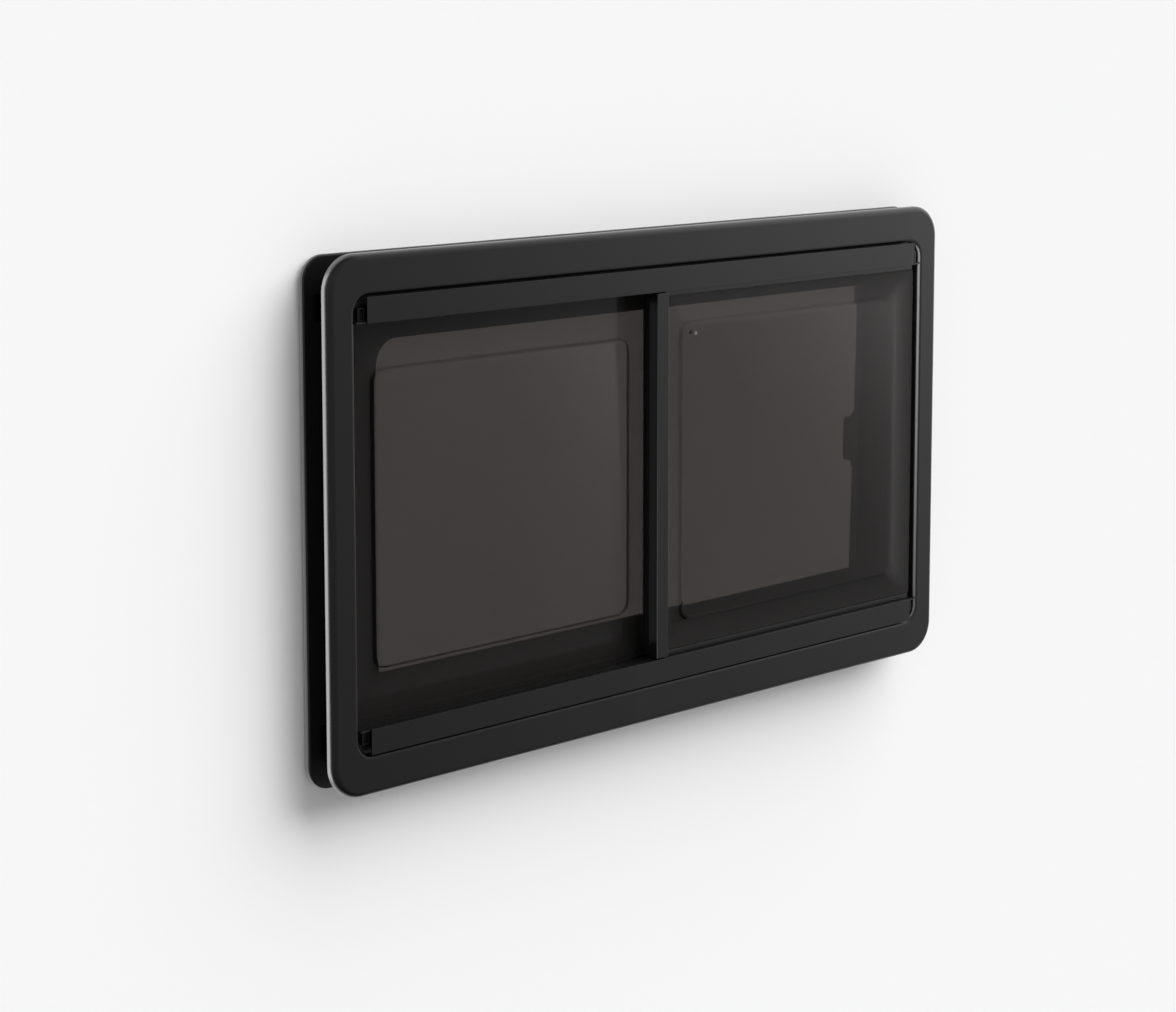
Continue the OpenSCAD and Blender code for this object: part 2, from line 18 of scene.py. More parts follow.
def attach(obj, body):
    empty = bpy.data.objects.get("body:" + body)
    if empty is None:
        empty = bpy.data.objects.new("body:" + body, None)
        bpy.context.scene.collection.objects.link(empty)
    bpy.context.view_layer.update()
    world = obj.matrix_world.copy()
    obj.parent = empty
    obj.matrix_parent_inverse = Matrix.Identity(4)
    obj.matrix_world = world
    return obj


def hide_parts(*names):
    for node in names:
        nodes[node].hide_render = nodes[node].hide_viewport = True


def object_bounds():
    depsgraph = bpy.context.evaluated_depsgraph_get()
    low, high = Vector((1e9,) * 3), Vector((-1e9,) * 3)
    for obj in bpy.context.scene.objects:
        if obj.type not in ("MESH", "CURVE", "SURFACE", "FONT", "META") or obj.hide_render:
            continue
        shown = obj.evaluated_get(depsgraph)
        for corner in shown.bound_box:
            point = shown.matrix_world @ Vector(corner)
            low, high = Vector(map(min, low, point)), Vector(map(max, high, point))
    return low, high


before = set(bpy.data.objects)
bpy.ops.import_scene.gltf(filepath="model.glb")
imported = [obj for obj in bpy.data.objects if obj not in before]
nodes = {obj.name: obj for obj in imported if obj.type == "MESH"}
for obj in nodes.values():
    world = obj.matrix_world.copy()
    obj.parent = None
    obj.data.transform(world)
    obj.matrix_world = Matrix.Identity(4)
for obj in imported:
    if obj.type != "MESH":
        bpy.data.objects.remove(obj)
cad_low, cad_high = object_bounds()
print("CAD box in mm:", [round(v * 1000, 1) for v in (*cad_low, *cad_high)])

# %% [markdown]
# ## Sizes
#
# The few sizes that the finer shapes need are repeated here from the CAD source, so that each
# name has one value. Heights are counted from the flange's lower edge, and depths run from the
# flange's back face towards the outside, as in the source's flat drawing.

# %% Sizes of the window
FLANGE_W, FLANGE_H = 842.0, 492.0
HALF_W = FLANGE_W / 2
OVERLAP = 21.0
SHEET_T = 2.5
FIXED_RIM = -16.4       # front of the fixed pane's rim
SASH_RIM = 4.5          # front of the sash pane's rim


def place(x, h, d):
    """A point from the flat drawing (x, height, depth to the front, in mm) in the row frame, in metres."""
    return Vector((x / 1000, -d / 1000, (h - OVERLAP / 2) / 1000))


def add_to_scene(name, mesh):
    """An object at the origin that holds the mesh."""
    made = bpy.data.objects.new(name, mesh)
    bpy.context.scene.collection.objects.link(made)
    return made


# %% [markdown]
# ## Writing shaders as sums
#
# Every finish below is a small node graph. A graph is easier to read as an expression than as
# a list of links, so one class wraps a socket and lets Python's operators make the Math nodes.
# The alternative is to wire each node by hand, which hides the formula.

# %% Socket class and node helper
class Sock:
    """A shader socket that can be used in sums."""

    def __init__(self, mat, out):
        self.mat, self.out = mat, out

    def _math(self, op, *others):
        node = self.mat.tree.nodes.new("ShaderNodeMath")
        node.operation = op
        for socket, value in zip(node.inputs, (self, *others)):
            self.mat.feed(socket, value)
        return Sock(self.mat, node.outputs[0])

    def __add__(self, other): return self._math("ADD", other)
    def __radd__(self, other): return self + other
    def __mul__(self, other): return self._math("MULTIPLY", other)
    def __rmul__(self, other): return self * other
    def __sub__(self, other): return self._math("SUBTRACT", other)
    def __rsub__(self, other): return (self * -1.0) + other
    def __truediv__(self, other): return self._math("DIVIDE", other)
    def clamp(self): return self._math("MAXIMUM", 0.0)._math("MINIMUM", 1.0)
    def arctan2(self, other): return self._math("ARCTAN2", other)
    def arcsine(self): return self._math("ARCSINE")


class Finish:
    """A material with one Principled shader, and methods that make the nodes before it."""

    def __init__(self, name, **constants):
        self.mat = bpy.data.materials.new(name)
        self.mat.use_nodes = True
        self.tree = self.mat.node_tree
        self.bsdf = self.tree.nodes["Principled BSDF"]
        for key, value in constants.items():
            is_colour = isinstance(value, tuple)
            self.bsdf.inputs[key.replace("_", " ")].default_value = (*value, 1.0) if is_colour else value

    def feed(self, socket, value):
        if isinstance(value, Sock):
            self.tree.links.new(value.out, socket)
        else:
            socket.default_value = value

    def node(self, kind, out=0, settings=None, **values):
        made = self.tree.nodes.new(kind)
        for key, value in (settings or {}).items():
            setattr(made, key, value)
        for key, value in values.items():
            self.feed(made.inputs[key.replace("_", " ")], value)
        return Sock(self, made.outputs[out])

    def here(self):
        """Object coordinates, in metres."""
        return self.node("ShaderNodeTexCoord", "Object")

    def noise(self, scale, detail=2.0, where=None):
        return self.node("ShaderNodeTexNoise", Vector=where or self.here(), Scale=scale, Detail=detail)

    def mix(self, factor, low, high):
        made = self.tree.nodes.new("ShaderNodeMix")
        made.data_type = "RGBA"
        colours = [socket for socket in made.inputs if socket.type == "RGBA"]
        self.feed(made.inputs[0], factor)
        for socket, colour in zip(colours, (low, high)):
            self.feed(socket, (*colour, 1.0))
        return Sock(self, next(socket for socket in made.outputs if socket.type == "RGBA"))

    def bump(self, height, distance, strength):
        normal = self.node("ShaderNodeBump", Height=height, Distance=distance, Strength=strength)
        self.feed(self.bsdf.inputs["Normal"], normal)

    def vary(self, **inputs):
        for key, value in inputs.items():
            self.feed(self.bsdf.inputs[key.replace("_", " ")], value)


def scaled(colour, share):
    return tuple(channel * share for channel in colour)


def put(finish, *names):
    """Gives a finish to CAD nodes, as one slot that replaces the slots they had."""
    for name in names:
        mesh = nodes[name].data
        mesh.materials.clear()
        mesh.materials.append(finish.mat)
    print(finish.mat.name, "on", ", ".join(names))


# %% [markdown]
# ## The black plastics
#
# The flange is moulded plastic with a very fine grain: near black, satin, with the edges
# catching the light. The grain is a bump of a few thousandths of a millimetre. A flat colour
# alone would look like a drawing, and a strong grain would break up the long soft highlights.

# %% Satin plastics
BLACK_IOR = 1.5
BLACK_SPECULAR = 0.9        # almost all that the black parts show is reflection
CLOUD_SCALE, GRAIN_SCALE = 9.0, 2600.0
GRAIN_HEIGHT = 0.000006


def satin(name, colour, rough):
    made = Finish(name, IOR=BLACK_IOR, Specular_IOR_Level=BLACK_SPECULAR)
    cloud = made.noise(CLOUD_SCALE, 3.0)
    fine = made.noise(GRAIN_SCALE)
    made.vary(Base_Color=made.mix(cloud, scaled(colour, 0.9), scaled(colour, 1.12)),
              Roughness=rough + (cloud - 0.5) * 0.06 + (fine - 0.5) * 0.05)
    made.bump(fine, GRAIN_HEIGHT, 0.5)
    return made


flange_black = satin("flange_satin_black", (0.002, 0.002, 0.002), 0.3)
ring_black = satin("ring_satin_black", (0.003, 0.003, 0.003), 0.4)
# The frame body and the track's end blocks sit in shaded pockets. Their satin black is their own dull
# plastic, made a little darker than the flange's as painted shade.
shaded_body_black = satin("body_dull_black_painted_shade", (0.0015, 0.0015, 0.0015), 0.6)
latch_black = satin("latch_black", (0.004, 0.004, 0.004), 0.4)
put(flange_black, "outer_flange")
put(ring_black, "clamp_ring", "rear_rail_top", "rear_rail_bottom", "rear_rail_left", "rear_rail_right")
put(shaded_body_black, "frame_body", "track_end_blocks")
put(latch_black, "latch_plate", "latch_foot", "latch_knob")

# %% [markdown]
# ## The coated metal
#
# The cover strips and the sash's profiles are aluminium with a satin black coating. The coat
# is smoother than the plastic's, and its faint unevenness runs along the extrusion. Stretched
# noise gives that. A plain value would do from afar, but not for a view along the strip.

# %% Coated aluminium
LINES_STRETCH = (6.0, 900.0, 900.0)
LINES_HEIGHT = 0.00001


def coated(name, colour, rough):
    made = Finish(name, IOR=BLACK_IOR, Specular_IOR_Level=BLACK_SPECULAR)
    along = made.node("ShaderNodeMapping", Vector=made.here(), Scale=LINES_STRETCH)
    lines = made.noise(1.0, where=along)
    made.vary(Base_Color=made.mix(lines, scaled(colour, 0.92), scaled(colour, 1.08)),
              Roughness=rough + (lines - 0.5) * 0.02)
    made.bump(lines, LINES_HEIGHT, 0.08)
    return made


strip_black = coated("strip_coated_black", (0.002, 0.002, 0.002), 0.28)
track_black = coated("track_coated_black", (0.004, 0.004, 0.004), 0.35)
put(strip_black, "top_cover_strip", "bottom_cover_strip", "sash_stile", "sash_top_rail", "sash_bottom_rail")
put(track_black, "top_track", "bottom_track", "left_jamb", "right_jamb")
put(track_black, "fixed_interlock", "sash_right_stile")

# %% [markdown]
# ## Rubber, steel and the plugs
#
# The seals are dull rubber that takes up nearly all light. The clips and the bolt are darkened
# steel, and the screws are bright steel. The two vent plugs are small pieces of greyish plastic.
# A fine noise is enough for each, since none of them is more than a few pixels wide.

# %% Rubber and small metal parts
rubber = Finish("seal_rubber", IOR=1.4)
rubber.vary(Base_Color=rubber.mix(rubber.noise(60.0), (0.0035, 0.0035, 0.0035), (0.006, 0.006, 0.006)),
            Roughness=0.7 + (rubber.noise(300.0) - 0.5) * 0.1)
put(rubber, "fixed_pane_beads", "fixed_pane_blocks", "interlock_seal", "closing_seal")


def steel(name, colour, rough):
    made = Finish(name, Metallic=1.0)
    speck = made.noise(350.0, 3.0)
    made.vary(Base_Color=made.mix(speck, scaled(colour, 0.85), colour),
              Roughness=rough + (speck - 0.5) * 0.15)
    return made


clip_steel = steel("clip_steel", (0.02, 0.02, 0.02), 0.5)
screw_steel = steel("screw_steel", (0.45, 0.45, 0.46), 0.35)
put(clip_steel, "clamp_clips", "latch_bolt", "latch_keeper")
put(screw_steel, "clamp_screws", "latch_screws")
plug_clear = Finish("plug_clear", IOR=1.49, Roughness=0.15)
plug_tint = plug_clear.mix(plug_clear.noise(200.0), (0.12, 0.12, 0.115), (0.16, 0.16, 0.155))
plug_clear.vary(Base_Color=plug_tint)
put(plug_clear, "vent_plugs")

# %% [markdown]
# ## The tinted acrylic
#
# Each pane is two sheets: a flat inner one, and an outer one whose middle is raised. Four
# tinted surfaces lie in the way of the light, so each one passes only part of it, a little
# more of the red than of the blue. The slopes round the raised panel bend the view through
# them, which is why they are made as real curved sheets and the tint isn't faked by alpha.

# %% Acrylic
acrylic = Finish("tinted_acrylic", IOR=1.2, Roughness=0.0, Specular_IOR_Level=0.0,
                 Transmission_Weight=0.94, Coat_Weight=0.28, Coat_IOR=1.5, Coat_Roughness=0.15)
haze = acrylic.noise(4.0)
acrylic.vary(Base_Color=acrylic.mix(haze, (0.217, 0.201, 0.194), (0.227, 0.211, 0.204)))
put(acrylic, "fixed_pane_outer", "fixed_pane_inner", "sash_pane_outer", "sash_pane_inner")

# %% [markdown]
# ## Rounding the long edges
#
# The CAD edges are knife sharp, and a sharp edge shows no highlight. A small bevel on the
# extrusions and mouldings gives each edge its thin bright line. It is a modifier, so the CAD
# mesh below stays as it is. The faces are merged at their seams first, or every face would
# be rounded by itself.

# %% Bevels on the CAD pieces
SEAM = 0.00001          # corners closer than this are one corner, in metres


def soften(width_mm, *names, segments=2):
    for name in names:
        ob = nodes[name]
        weld = ob.modifiers.new("seams", "WELD")
        weld.merge_threshold = SEAM
        bevel = ob.modifiers.new("edges", "BEVEL")
        bevel.width = width_mm / 1000
        bevel.segments = segments
        bevel.limit_method = "ANGLE"
        bevel.angle_limit = math.radians(40)
        bevel.harden_normals = True
        bevel.use_clamp_overlap = True


soften(0.35, "top_cover_strip", "bottom_cover_strip", "sash_top_rail", "sash_bottom_rail")
soften(0.9, "sash_stile", segments=4)
soften(0.3, "top_track", "bottom_track", "track_end_blocks", "clamp_clips")
soften(0.8, "latch_plate", "latch_foot", "latch_knob")
soften(0.8, "rear_rail_top", "rear_rail_bottom", "rear_rail_left", "rear_rail_right")

# %% [markdown]
# ## The raised panes
#
# A raised pane is drawn as a stack of rounded rectangles, each a little further in and further
# forward, joined by quads. The slope follows a smooth S, as heated sheet does when it is drawn
# over a mould. A hull of two plates, as the CAD uses, would give hard creases here.

# %% Rounded rectangles and lofts
CORNER_STEPS = 12
SLOPE_STEPS = 14
SHARP_ANGLE = math.radians(35)
PANE_EDGE = 0.5         # chamfer round the sheet's edge
BACK_ROOM = 0.06        # keeps the sheet's back off the piece behind it
INNER_SHRINK = 1.0      # the hollow side's slope lies this much further in
LEAST_R = 3.0           # no corner of a slope is tighter than this


def ring(x0, x1, h0, h1, r, d):
    """Points round a rounded rectangle, counter-clockwise seen from the outside."""
    points = []
    corners = ((x1 - r, h1 - r, 0), (x0 + r, h1 - r, 90), (x0 + r, h0 + r, 180), (x1 - r, h0 + r, 270))
    for cx, ch, start in corners:
        for k in range(CORNER_STEPS + 1):
            a = math.radians(start + 90 * k / CORNER_STEPS)
            points.append(place(cx + r * math.cos(a), ch + r * math.sin(a), d))
    return points


def loft(name, rings, finish):
    """A closed mesh through the rings, with a flat face at either end."""
    mesh = bpy.data.meshes.new(name)
    bm = bmesh.new()
    loops = [[bm.verts.new(p) for p in points] for points in rings]
    for low, high in zip(loops, loops[1:]):
        count = len(low)
        for k in range(count):
            after = (k + 1) % count
            bm.faces.new((low[k], low[after], high[after], high[k]))
    bm.faces.new(list(reversed(loops[0])))
    bm.faces.new(loops[-1])
    bmesh.ops.recalc_face_normals(bm, faces=bm.faces)
    bm.to_mesh(mesh)
    bm.free()
    mesh.polygons.foreach_set("use_smooth", [True] * len(mesh.polygons))
    mesh.set_sharp_from_angle(angle=SHARP_ANGLE)
    mesh.materials.append(finish.mat)
    return add_to_scene(name, mesh)


def slope_rings(base, slope_x, slope_h, rise, front, inset):
    """Rings up the slope, from the foot to the raised panel. base is (x0, x1, h0, h1, radius)."""
    x0, x1, h0, h1, r = base
    rings = []
    for k in range(SLOPE_STEPS + 1):
        t = k / SLOPE_STEPS
        lift = t * t * (3 - 2 * t)
        sx, sh = slope_x * t + inset, slope_h * t + inset
        corner = max(r - min(sx, sh), LEAST_R)
        rings.append(ring(x0 + sx, x1 - sx, h0 + sh, h1 - sh, corner, front + rise * lift))
    return rings


def pane(name, outline, base, slope_x, slope_h, rim, rise, replaced):
    """A sheet with a raised panel. outline and base are (x0, x1, h0, h1, radius)."""
    x0, x1, h0, h1, r = outline
    back = rim - SHEET_T + BACK_ROOM
    hollow_side = slope_rings(base, slope_x, slope_h, rise, back, INNER_SHRINK)
    rim_profile = ((PANE_EDGE, back), (0, back + PANE_EDGE), (0, rim - PANE_EDGE), (PANE_EDGE, rim))
    rim_rings = [ring(x0 + inset, x1 - inset, h0 + inset, h1 - inset, r - inset, depth)
                 for inset, depth in rim_profile]
    front_side = slope_rings(base, slope_x, slope_h, rise, rim, 0.0)
    made = loft(name, hollow_side[::-1] + rim_rings + front_side, acrylic)
    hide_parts(replaced)
    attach(made, "root")
    return made


# %% [markdown]
# ### The two panes
#
# The fixed pane lies deep, behind the sash, and its raised panel stands well inside its rim.
# The sash's panel fills more of its pane. Both have narrow slopes, because the photograph shows
# them as lines. The sash's solid has wider ones, which would show as a band.

# %% The two raised panes
SLOPE_W = 2.5
fixed = pane("fixed_raised_pane", (-394.0, 9.0, 44.0, 448.0, 8.0), (-354.8, -26.0, 106.8, 385.2, 15.0),
             SLOPE_W, SLOPE_W, FIXED_RIM, 6.0, "fixed_pane_outer")
sash = pane("sash_raised_pane", (1.7, 387.0, 64.1, 427.9, 8.0), (22.5, 355.5, 94.3, 397.7, 15.0),
            SLOPE_W, SLOPE_W, SASH_RIM, 5.2, "sash_pane_outer")
print("raised panes:", len(fixed.data.polygons), "and", len(sash.data.polygons), "faces")

# %% [markdown]
# ## The screws of the clamping ring
#
# The inner ring is drawn up by a row of small cross-headed screws. They are all alike, so one
# screw is made and set at every seat by Geometry Nodes. The seats are read from the packed
# solids, because a row counted out here would drift when the CAD's spacing changes. Copying
# eighteen objects by hand would give the same picture, with nothing left to adjust.

# %% The screws' seats
def loose_boxes(mesh):
    """The low and high corners of each loose piece of a mesh, in a fixed order."""
    bm = bmesh.new()
    bm.from_mesh(mesh)
    bmesh.ops.remove_doubles(bm, verts=bm.verts, dist=SEAM)
    left, boxes = set(bm.verts), []
    while left:
        waiting, piece = [left.pop()], []
        while waiting:
            vert = waiting.pop()
            piece.append(tuple(vert.co))
            near = {edge.other_vert(vert) for edge in vert.link_edges} & left
            left -= near
            waiting.extend(near)
        boxes.append((Vector(map(min, zip(*piece))), Vector(map(max, zip(*piece)))))
    bm.free()
    return sorted(boxes, key=lambda box: (round(box[0].z, 5), round(box[0].x, 5)))


screw_boxes = loose_boxes(nodes["clamp_screws"].data)
seats = [(low + high) / 2 for low, high in screw_boxes]
head_low, head_high = screw_boxes[0]
head = head_high - head_low
print(len(seats), "screw seats, heads", [round(v * 1000, 2) for v in head], "mm")

# %% [markdown]
# ### The node tree
#
# A head is a cylinder with two crossed slots cut from its outer face. Head and slots are inputs
# with names, so another screw needs only other numbers. The screw is drawn upright and each
# copy is turned, so that its head faces the room behind the window.

# %% One screw, set at every seat
HEAD_SIDES = 24
RECESS_REACH = 1.2      # length of a slot, in head radii
RECESS_W, RECESS_DEPTH = 0.0011, 0.0009
TO_THE_ROOM = (math.radians(-90), 0.0, 0.0)


def screw_tree(finish, sizes):
    tree = bpy.data.node_groups.new("ring_screws", "GeometryNodeTree")
    face = tree.interface
    face.new_socket("Geometry", in_out="INPUT", socket_type="NodeSocketGeometry")
    for name in sizes:
        face.new_socket(name, in_out="INPUT", socket_type="NodeSocketFloat")
    face.new_socket("Geometry", in_out="OUTPUT", socket_type="NodeSocketGeometry")
    given = tree.nodes.new("NodeGroupInput").outputs

    def node(kind, settings=None, **inputs):
        made = tree.nodes.new(kind)
        for key, value in (settings or {}).items():
            setattr(made, key, value)
        for key, value in inputs.items():
            if isinstance(value, bpy.types.NodeSocket):
                tree.links.new(value, made.inputs[key])
            else:
                made.inputs[key].default_value = value
        return made

    def times(value, factor):
        made = node("ShaderNodeMath", {"operation": "MULTIPLY"})
        tree.links.new(value, made.inputs[0])
        made.inputs[1].default_value = factor
        return made.outputs[0]

    body = node("GeometryNodeMeshCylinder", Vertices=HEAD_SIDES, Radius=given["Head Radius"],
                Depth=given["Head Height"])
    outer_face = node("ShaderNodeCombineXYZ", Z=times(given["Head Height"], 0.5))
    reach = times(given["Head Radius"], RECESS_REACH)
    both_ways = times(given["Recess Depth"], 2.0)
    cut = node("GeometryNodeMeshBoolean", {"operation": "DIFFERENCE"})
    tree.links.new(body.outputs["Mesh"], cut.inputs["Mesh 1"])
    for long_axis, short_axis in (("X", "Y"), ("Y", "X")):
        size = node("ShaderNodeCombineXYZ", Z=both_ways,
                    **{long_axis: reach, short_axis: given["Recess Width"]})
        slot = node("GeometryNodeMeshCube", Size=size.outputs[0])
        lifted = node("GeometryNodeTransform", Geometry=slot.outputs["Mesh"],
                      Translation=outer_face.outputs[0])
        tree.links.new(lifted.outputs[0], cut.inputs["Mesh 2"])
    copies = node("GeometryNodeInstanceOnPoints", Points=given["Geometry"],
                  Instance=cut.outputs["Mesh"], Rotation=TO_THE_ROOM)
    real = node("GeometryNodeRealizeInstances", Geometry=copies.outputs[0])
    dressed = node("GeometryNodeSetMaterial", Geometry=real.outputs[0], Material=finish.mat)
    tree.links.new(dressed.outputs[0], node("NodeGroupOutput").inputs["Geometry"])
    return tree


screw_sizes = {"Head Radius": head.x / 2, "Head Height": head.y,
               "Recess Width": RECESS_W, "Recess Depth": RECESS_DEPTH}
points = bpy.data.meshes.new("screw_seats")
points.from_pydata(seats, [], [])
maker = add_to_scene("screw_seats", points)
modifier = maker.modifiers.new("ring_screws", "NODES")
modifier.node_group = screw_tree(screw_steel, screw_sizes)
for item in modifier.node_group.interface.items_tree:
    if item.in_out == "INPUT" and item.name in screw_sizes:
        modifier[item.identifier] = screw_sizes[item.name]

# %% [markdown]
# ### Plain screws
#
# The evaluated result becomes a mesh of its own, and the object that made it goes, so that the
# screws are an ordinary piece like the others.

# %% The screws as one piece
screw_mesh = bpy.data.meshes.new_from_object(maker.evaluated_get(bpy.context.evaluated_depsgraph_get()))
bpy.data.objects.remove(maker)
screws = add_to_scene("ring_screw_heads", screw_mesh)
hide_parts("clamp_screws")
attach(screws, "root")
print("ring screws:", len(screw_mesh.polygons), "faces")

# %% [markdown]
# ## Wall and floor
#
# The window hangs on a pale wall, which takes its soft shadow. The wall has a hole behind the
# panes, as a real one has, so the panes show the bright room beyond it. From behind the wall
# is clear, so that the views from inside see the window too. Without the hole the panes would
# show a shaded wall close behind them.

# %% Wall and floor
PALE = (0.9, 0.9, 0.9)
FLOOR_Z = -0.95
FLOOR_Y = 6.0
WALL_X, WALL_TOP = 7.0, 4.0
WALL_Y = cad_high.y + 0.0004
HOLE = 60.0             # the hole's edge lies this far inside the flange's edge


def clear_behind(made):
    """Makes a finish transparent where a face is seen from its back."""
    side = made.node("ShaderNodeNewGeometry", "Backfacing")
    clear = made.node("ShaderNodeBsdfTransparent")
    mix = made.tree.nodes.new("ShaderNodeMixShader")
    made.feed(mix.inputs[0], side)
    made.tree.links.new(made.bsdf.outputs[0], mix.inputs[1])
    made.tree.links.new(clear.out, mix.inputs[2])
    made.tree.links.new(mix.outputs[0], made.tree.nodes["Material Output"].inputs["Surface"])


def only_glossy(ob):
    """Only reflections see the object, and it lights nothing else."""
    ob.visible_camera = ob.visible_transmission = ob.visible_diffuse = ob.visible_shadow = False


def pale(name):
    return Finish(name, Base_Color=PALE, Roughness=0.9, Specular_IOR_Level=0.0)


def staged(name, corners, faces, finish):
    mesh = bpy.data.meshes.new(name)
    mesh.from_pydata(corners, [], faces)
    mesh.materials.append(finish.mat)
    made = add_to_scene(name, mesh)
    return made


hole_low = place(HOLE - HALF_W, HOLE, 0)
hole_high = place(HALF_W - HOLE, FLANGE_H - HOLE, 0)
outer = [(-WALL_X, WALL_Y, FLOOR_Z), (WALL_X, WALL_Y, FLOOR_Z),
         (WALL_X, WALL_Y, WALL_TOP), (-WALL_X, WALL_Y, WALL_TOP)]
inner = [(hole_low.x, WALL_Y, hole_low.z), (hole_high.x, WALL_Y, hole_low.z),
         (hole_high.x, WALL_Y, hole_high.z), (hole_low.x, WALL_Y, hole_high.z)]
around = [(k, (k + 1) % 4, 4 + (k + 1) % 4, 4 + k) for k in range(4)]
wall_pale = pale("wall_pale")
clear_behind(wall_pale)
wall = staged("wall", outer + inner, around, wall_pale)
floor = staged("floor", [(-WALL_X, -FLOOR_Y, FLOOR_Z), (WALL_X, -FLOOR_Y, FLOOR_Z),
                         (WALL_X, FLOOR_Y, FLOOR_Z), (-WALL_X, FLOOR_Y, FLOOR_Z)],
               [(0, 1, 2, 3)], pale("floor_pale"))
wall.visible_glossy = floor.visible_glossy = False
floor.visible_transmission = floor.visible_diffuse = False
print("wall at y =", round(WALL_Y * 1000, 1), "mm")

# %% [markdown]
# ## World and key light
#
# The world is white where the camera, a reflection or the light through a pane meets it, and
# dimmer where it lights the object. One broad sun from the upper right and front adds the
# shadow that falls to the lower left. A lamp close by would give the wall a bright patch.

# %% World
AMBIENT = 0.42
world = bpy.data.worlds.new("studio")
bpy.context.scene.world = world
world.use_nodes = True
world_tree = world.node_tree
backdrop = world_tree.nodes["Background"]
backdrop.inputs["Color"].default_value = (1.0, 1.0, 1.0, 1.0)
light_path = world_tree.nodes.new("ShaderNodeLightPath")
seen = light_path.outputs["Is Camera Ray"]
for other in ("Is Glossy Ray", "Is Transmission Ray"):
    either = world_tree.nodes.new("ShaderNodeMath")
    either.operation = "MAXIMUM"
    world_tree.links.new(seen, either.inputs[0])
    world_tree.links.new(light_path.outputs[other], either.inputs[1])
    seen = either.outputs[0]
strength = world_tree.nodes.new("ShaderNodeMapRange")
strength.inputs["To Min"].default_value = AMBIENT
strength.inputs["To Max"].default_value = 1.0
world_tree.links.new(seen, strength.inputs["Value"])
world_tree.links.new(strength.outputs[0], backdrop.inputs["Strength"])

# %% Key light
KEY_STRENGTH = 4.5
KEY_SPREAD = math.radians(75)
KEY_DIRECTION = Vector((-0.65, 0.55, -1.0))
sun = bpy.data.lights.new("key", "SUN")
sun.energy = KEY_STRENGTH
sun.angle = KEY_SPREAD
key = bpy.data.objects.new("key", sun)
key.rotation_mode = "QUATERNION"
key.rotation_quaternion = KEY_DIRECTION.to_track_quat("-Z", "Y")
key.visible_glossy = False
bpy.context.scene.collection.objects.link(key)

# %% [markdown]
# ## The grey tent
#
# Black gloss shows what it faces. In a studio such a product stands in a tent of grey cloth,
# darker on one side, and a sphere that only reflections and the light through the panes can see
# does the same here. Its brightness follows the direction. Making the plastics lighter or darker
# instead would lose the slow change from left to right along the flange.

# %% The tent that reflections see
TENT_R = 2.4
TENT_MID = place(0, FLANGE_H / 2, 0)
TENT_TURNS, TENT_LIFTS = 48, 24
DEGREES = 180 / math.pi


def ramp(value, *stops):
    """Straight lines through (place, height) stops, and level beyond both ends."""
    total = stops[0][1]
    for (p0, h0), (p1, h1) in zip(stops, stops[1:]):
        total = ((value - p0) / (p1 - p0)).clamp() * (h1 - h0) + total
    return total


def tent_glow(made):
    """Brightness by direction: turn runs from the front to the right, lift upwards, both in degrees."""
    split = made.tree.nodes.new("ShaderNodeSeparateXYZ")
    made.feed(split.inputs["Vector"], made.here())
    x, y, z = (Sock(made, out) for out in split.outputs)
    turn = x.arctan2(y * -1.0) * DEGREES
    lift = ((z - TENT_MID.z) / TENT_R).arcsine() * DEGREES
    across = ramp(turn, (-20, 0.17), (32, 0.18), (57, 0.5), (80, 0.75))
    right_share = ramp(turn, (35, 0.0), (55, 1.0))
    on_left = ramp(lift, (-60, 0.3), (-22, 1.05), (-8, 1.05), (5, 1.4), (25, 1.6), (60, 0.9))
    on_right = ramp(lift, (-60, 0.2), (-22, 0.53), (-8, 0.9), (5, 1.5), (25, 1.9), (60, 1.0))
    upright = on_left * (1.0 - right_share) + on_right * right_share
    behind = ramp(turn, (-125, 1.0), (-100, 0.0), (90, 0.0), (115, 1.0))
    room = ramp(turn, (-125, 1.5), (-100, 1.0), (112, 1.15), (136, 1.0))
    return across * upright * (1.0 - behind) + behind * room


def sphere(middle, radius, turns, lifts):
    """Corners and faces of a sphere in the flat drawing's sense of turn and lift."""
    corners = []
    for k in range(lifts + 1):
        lift = math.radians(-90 + 180 * k / lifts)
        for j in range(turns):
            turn = math.radians(360 * j / turns)
            corners.append((middle.x + radius * math.cos(lift) * math.sin(turn),
                            -radius * math.cos(lift) * math.cos(turn),
                            middle.z + radius * math.sin(lift)))
    faces = []
    for k in range(lifts):
        here, above = k * turns, (k + 1) * turns
        for j in range(turns):
            after = (j + 1) % turns
            faces.append((here + j, here + after, above + after, above + j))
    return corners, faces


tent_finish = Finish("tent_grey", Base_Color=(0.0, 0.0, 0.0), Roughness=1.0, Emission_Strength=1.0,
                     Specular_IOR_Level=0.0)
glow = tent_glow(tent_finish)
grey = tent_finish.node("ShaderNodeCombineColor", Red=glow, Green=glow, Blue=glow)
tent_finish.vary(Emission_Color=grey)
tent = staged("tent", *sphere(TENT_MID, TENT_R, TENT_TURNS, TENT_LIFTS), tent_finish)
only_glossy(tent)
tent.visible_transmission = True
print("tent:", len(tent.data.polygons), "tiles")

# %% [markdown]
# ## Cards for the thin edge lines
#
# Four narrow edges catch a light of their own in the photograph, or keep clear of one: the left
# flank, the right inner rim, and the side and front edge of the middle upright. A card near
# each, seen only by reflections and only from its front, gives that line and nothing else.
# Brighter spots on the tent would show in all the other black surfaces too.

# %% The cards
CARD_FOOT, CARD_TOP = -20.0, 512.0
STILE_FOOT, STILE_TOP = 75.0, 417.0


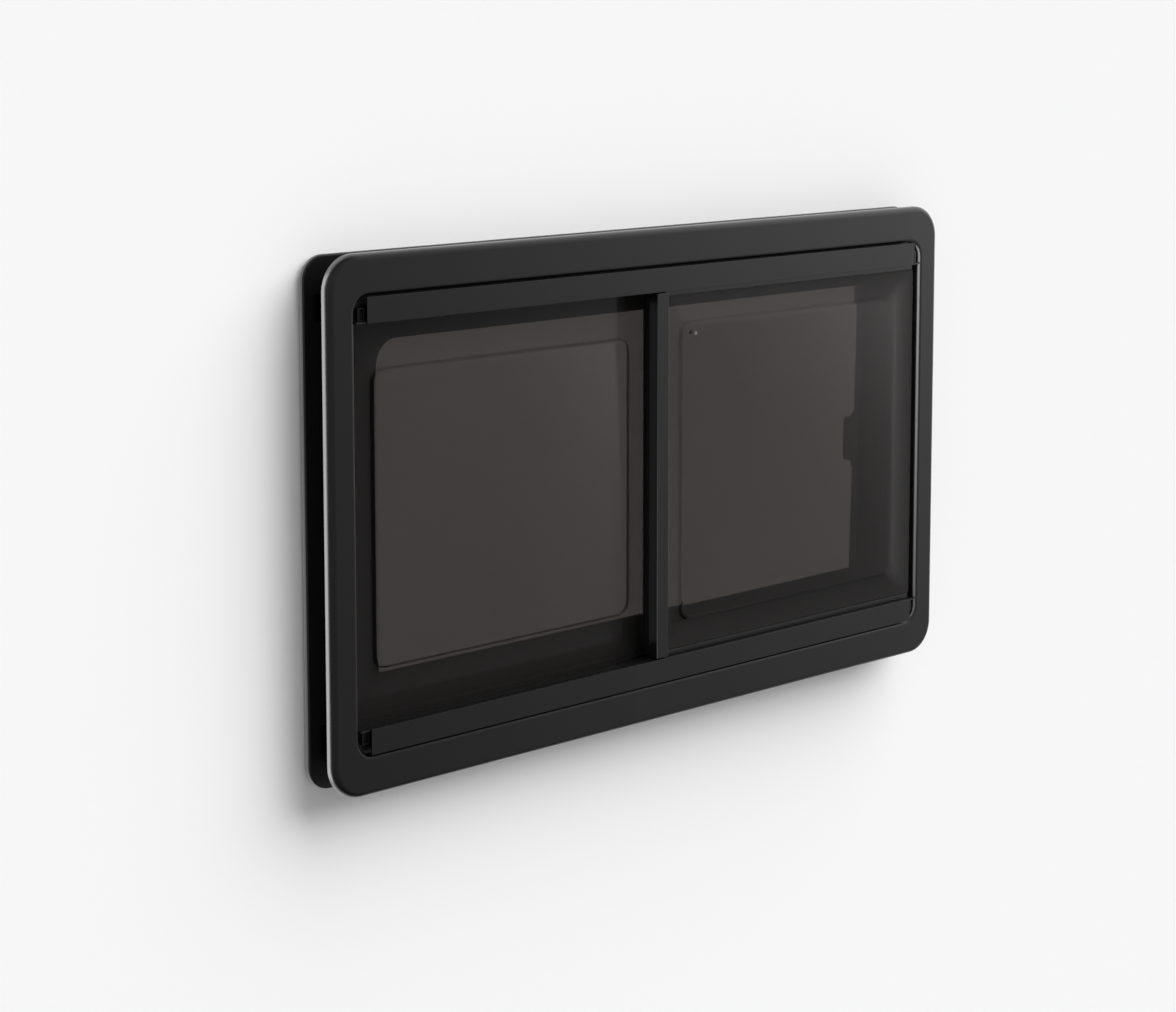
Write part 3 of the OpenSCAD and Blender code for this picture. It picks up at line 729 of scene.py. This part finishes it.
def card(name, corners, glows):
    """A card that only reflections see, and only from its front. glows are its corners' brightness."""
    made = Finish("card_" + name, Base_Color=(0.0, 0.0, 0.0), Specular_IOR_Level=0.0, Emission_Strength=1.0)
    made.vary(Emission_Color=made.node("ShaderNodeAttribute", "Color", {"attribute_name": "level"}))
    clear_behind(made)
    ob = staged(name, corners, [(0, 1, 2, 3)], made)
    level = ob.data.attributes.new("level", "FLOAT_COLOR", "POINT")
    for k, value in enumerate(glows):
        level.data[k].color = (value, value, value, 1.0)
    only_glossy(ob)
    return ob


def upright_card(name, edge_a, edge_b, low, high, foot=CARD_FOOT, top=CARD_TOP):
    """edge_a and edge_b are (x, depth) of its sides. Its front is at the right of the way from a to b."""
    (x_a, depth_a), (x_b, depth_b) = edge_a, edge_b
    corners = [place(x_a, foot, depth_a), place(x_b, foot, depth_b),
               place(x_b, top, depth_b), place(x_a, top, depth_a)]
    return card(name, corners, (low, low, high, high))


upright_card("flank_light", (-459.0, -30.0), (-434.0, -30.0), 5.0, 5.0)
upright_card("rim_light", (375.0, 60.0), (375.0, 10.0), 1.2, 5.0)
upright_card("stile_light", (-80.0, -9.0), (-17.0, -9.0), 0.1, 0.1, STILE_FOOT, STILE_TOP)
upright_card("stile_edge_light", (-40.0, 60.0), (-40.0, 10.0), 1.6, 0.7)

# %% [markdown]
# ## The camera
#
# The photograph looks about 44 degrees from the left and 11 degrees down, with upright edges
# that stay nearly parallel. The place, the turn and the lens come from fitting a camera to the
# corners of the flange, the strips and the ring. Most of the look down is a real tilt, and a
# small shift of the lens does the rest.

# %% Camera
CAMERA_PLACE = (-1.8595, -1.8290, 0.7013)
LENS_MM, SENSOR_MM = 81.63, 36.0
LENS_SHIFT = -0.15
yaw, pitch, roll = (math.radians(angle) for angle in (43.933, 7.012, -0.042))

lens = bpy.data.cameras.new("camera")
lens.sensor_width = SENSOR_MM
lens.lens = LENS_MM
lens.shift_y = LENS_SHIFT
lens.clip_start, lens.clip_end = 0.05, 200.0
camera = bpy.data.objects.new("camera", lens)
camera.location = CAMERA_PLACE
ahead = Vector((math.sin(yaw) * math.cos(pitch), math.cos(yaw) * math.cos(pitch), -math.sin(pitch)))
right = Vector((math.cos(yaw), -math.sin(yaw), 0.0))
up = right.cross(ahead)
rolled_right = right * math.cos(roll) + up * math.sin(roll)
rolled_up = up * math.cos(roll) - right * math.sin(roll)
camera.rotation_mode = "QUATERNION"
camera.rotation_quaternion = Matrix((rolled_right, rolled_up, -ahead)).transposed().to_quaternion()
bpy.context.scene.collection.objects.link(camera)
bpy.context.scene.camera = camera
bpy.context.scene.view_settings.view_transform = "Standard"
